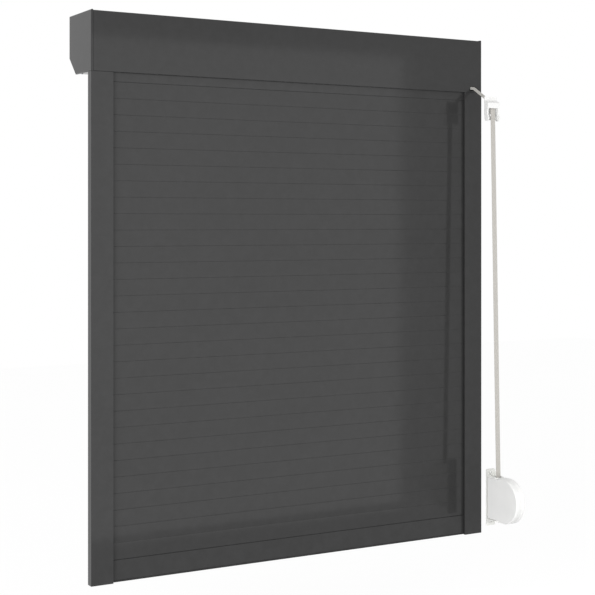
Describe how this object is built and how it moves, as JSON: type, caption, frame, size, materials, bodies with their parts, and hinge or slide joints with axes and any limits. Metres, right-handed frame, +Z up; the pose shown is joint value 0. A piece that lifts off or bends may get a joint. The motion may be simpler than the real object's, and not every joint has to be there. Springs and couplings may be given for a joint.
{
  "type": "exterior roller shutter",
  "caption": "Surface-mounted exterior roller shutter: slatted curtain in side rails under an angled box, raised by a strap and a swivelling spring winder.",
  "frame": {"origin": "middle of the lower edge of the flat back plane, between the two rails, at the sill", "axes": "+X to the right seen from the room, +Y outdoors away from the wall, +Z up"},
  "size_m": [1.08, 0.3336, 1.282],
  "materials": {
    "shutter_coat": "matte",
    "black_plastic": "matte",
    "bristle": "bristles",
    "black_rubber": "matte",
    "zinc_steel": "zinc plated",
    "spring_steel": "satin",
    "strap_weave": "woven",
    "white_plastic": "satin",
    "roller_plastic": "satin",
    "white_coat": "satin"
  },
  "bodies": {
    "frame": {"box_shell": "shutter_coat", "inspection_cover": "shutter_coat", "end_cap_left": "shutter_coat", "end_cap_right": "shutter_coat", "guide_rail_left": "shutter_coat", "guide_rail_right": "shutter_coat", "brush_seals": "bristle", "inlet_funnels": "black_plastic", "ball_bearings": "zinc_steel", "strap": "strap_weave", "outlet_frame": "black_plastic", "guide_housing": "white_plastic", "winder_bracket": "white_coat", "slat_01": "shutter_coat", "slat_02": "shutter_coat", "slat_03": "shutter_coat", "slat_04": "shutter_coat", "slat_05": "shutter_coat", "slat_06": "shutter_coat", "slat_07": "shutter_coat", "slat_08": "shutter_coat", "slat_09": "shutter_coat", "slat_10": "shutter_coat", "slat_11": "shutter_coat", "slat_12": "shutter_coat", "slat_13": "shutter_coat", "slat_14": "shutter_coat", "slat_15": "shutter_coat", "slat_16": "shutter_coat", "slat_17": "shutter_coat", "slat_18": "shutter_coat", "slat_19": "shutter_coat", "slat_20": "shutter_coat", "slat_21": "shutter_coat", "slat_22": "shutter_coat", "slat_23": "shutter_coat", "slat_24": "shutter_coat", "slat_25": "shutter_coat", "slat_26": "shutter_coat", "slat_27": "shutter_coat", "slat_28": "shutter_coat", "slat_29": "shutter_coat", "top_slats": "shutter_coat"},
    "end_slat": {"end_slat": "shutter_coat", "bottom_seal": "black_rubber", "stop_buffers": "black_rubber"},
    "axle": {"axle_tube": "zinc_steel", "tube_plugs": "zinc_steel", "strap_disc": "black_plastic", "disc_coil": "strap_weave", "curtain_hangers": "spring_steel"},
    "outlet_roller": {"outlet_roller": "roller_plastic"},
    "guide_roller": {"guide_roller": "roller_plastic"},
    "winder": {"winder_shell_left": "white_plastic", "winder_shell_right": "white_plastic", "drum_spring": "spring_steel"},
    "drum": {"winder_drum": "white_plastic", "drum_coil": "strap_weave"}
  },
  "joints": [
    {"name": "curtain_lift", "type": "slide", "parent": "frame", "child": "end_slat", "axis": [0, 0, 1], "range_m": [0, 1.097], "deforming": ["slat_01", "slat_02", "slat_03", "slat_04", "slat_05", "slat_06", "slat_07", "slat_08", "slat_09", "slat_10", "slat_11", "slat_12", "slat_13", "slat_14", "slat_15", "slat_16", "slat_17", "slat_18", "slat_19", "slat_20", "slat_21", "slat_22", "slat_23", "slat_24", "slat_25", "slat_26", "slat_27", "slat_28", "slat_29", "top_slats"]},
    {"name": "axle_turn", "type": "hinge", "parent": "frame", "child": "axle", "pos_m": [0, 0.0685, 1.2135], "axis": [1, 0, 0], "range_deg": [-1382.8, 0]},
    {"name": "outlet_roller_turn", "type": "hinge", "parent": "frame", "child": "outlet_roller", "pos_m": [0.512, 0.005, 1.1558], "axis": [1, 0, 0], "range_deg": [0, 13387.8]},
    {"name": "guide_roller_turn", "type": "hinge", "parent": "frame", "child": "guide_roller", "pos_m": [0.512, -0.078, 1.1068], "axis": [1, 0, 0], "range_deg": [0, 11565.1]},
    {"name": "winder_swivel", "type": "hinge", "parent": "frame", "child": "winder", "pos_m": [0.512, -0.1065, 0.1088], "axis": [0, 0, 1], "range_deg": [-90, 90], "deforming": ["strap"]},
    {"name": "drum_turn", "type": "hinge", "parent": "winder", "child": "drum", "pos_m": [0.512, -0.141, 0.1088], "axis": [1, 0, 0], "range_deg": [-1634.2, 0], "deforming": ["drum_spring"]}
  ],
  "couplings": [
    {"joint": "axle_turn", "follows": "curtain_lift", "rad_per_m": -22},
    {"joint": "outlet_roller_turn", "follows": "curtain_lift", "rad_per_m": 213},
    {"joint": "guide_roller_turn", "follows": "curtain_lift", "rad_per_m": 184},
    {"joint": "drum_turn", "follows": "curtain_lift", "rad_per_m": -26}
  ]
}
